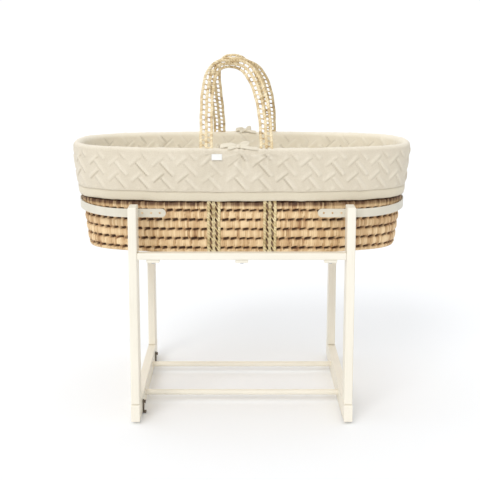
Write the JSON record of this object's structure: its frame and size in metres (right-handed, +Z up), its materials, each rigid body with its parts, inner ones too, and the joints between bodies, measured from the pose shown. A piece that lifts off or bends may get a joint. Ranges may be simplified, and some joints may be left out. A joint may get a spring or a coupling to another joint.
{
  "type": "moses basket on rocking stand",
  "caption": "Palm-woven baby basket with braided handles and padded knit dressing, resting on a painted wooden rocking stand with retaining bands.",
  "frame": {"origin": "on the floor under the middle of the stand", "axes": "+X along the basket to the right, +Y to the back, +Z up"},
  "size_m": [0.8342, 0.504, 0.8585],
  "materials": {
    "painted_wood": "satin cream-white paint over wood",
    "band": "smooth off-white flexible strap",
    "dark_hardware": "grey-brown coated metal",
    "steel": "zinc-plated screws and nuts",
    "raw_wood": "bare beech dowel",
    "woven_palm": "woven straw-gold palm leaf with tan and brown strands",
    "palm_braid": "braided palm ribbon, greenish straw with open holes",
    "cable_knit": "oatmeal cable knit, padded",
    "hem_cloth": "smooth oatmeal jersey hem",
    "tie_cloth": "narrow oatmeal jersey ties",
    "tag_cloth": "blank white woven tag",
    "foam": "polyurethane foam",
    "mattress_cotton": "white quilted cotton"
  },
  "bodies": {
    "stand": {"front_left_post": "painted_wood", "front_right_post": "painted_wood", "rear_left_post": "painted_wood", "rear_right_post": "painted_wood", "left_rocker": "painted_wood", "right_rocker": "painted_wood", "front_top_rail": "painted_wood", "rear_top_rail": "painted_wood", "left_slat": "painted_wood", "centre_slat": "painted_wood", "right_slat": "painted_wood", "front_bottom_rail": "painted_wood", "rear_bottom_rail": "painted_wood", "left_band": "band", "right_band": "band", "left_band_screws": "steel", "right_band_screws": "steel", "slat_screws": "steel", "top_rail_bolts": "steel", "barrel_nuts": "steel", "bolt_caps": "painted_wood", "post_dowels": "raw_wood", "post_screws": "steel", "bottom_rail_screws": "steel", "front_stabiliser_bolt": "dark_hardware", "rear_stabiliser_bolt": "dark_hardware"},
    "front_stabiliser": {"front_stabiliser": "dark_hardware"},
    "rear_stabiliser": {"rear_stabiliser": "dark_hardware"},
    "basket": {"basket_base": "woven_palm", "basket_wall": "woven_palm", "rim_binding": "woven_palm", "left_carry_strap": "palm_braid", "right_carry_strap": "palm_braid", "inner_liner": "cable_knit", "rim_roll": "cable_knit", "skirt_cover": "cable_knit", "skirt_hem": "hem_cloth", "front_tie_bow": "tie_cloth", "rear_tie_bow": "tie_cloth", "label_tag": "tag_cloth"},
    "front_handle": {"front_handle": "palm_braid"},
    "rear_handle": {"rear_handle": "palm_braid"},
    "mattress": {"mattress_core": "foam", "mattress_cover": "mattress_cotton"}
  },
  "joints": [
    {"name": "basket_lift", "type": "slide", "parent": "stand", "child": "basket", "axis": [0, 0, 1], "range_m": [0, 0.3]},
    {"name": "mattress_lift", "type": "slide", "parent": "basket", "child": "mattress", "axis": [0, 0, 1], "range_m": [0, 0.2]},
    {"name": "front_handle_fold", "type": "hinge", "parent": "basket", "child": "front_handle", "pos_m": [0, -0.17744, 0.651], "axis": [1, 0, 0], "range_deg": [0, 123]},
    {"name": "rear_handle_fold", "type": "hinge", "parent": "basket", "child": "rear_handle", "pos_m": [0, 0.17744, 0.651], "axis": [-1, 0, 0], "range_deg": [0, 123]},
    {"name": "front_stabiliser_fold", "type": "hinge", "parent": "stand", "child": "front_stabiliser", "pos_m": [-0.241, -0.178, 0.029], "axis": [1, 0, 0], "range_deg": [0, 90]},
    {"name": "rear_stabiliser_fold", "type": "hinge", "parent": "stand", "child": "rear_stabiliser", "pos_m": [-0.241, 0.178, 0.029], "axis": [-1, 0, 0], "range_deg": [0, 90]}
  ]
}
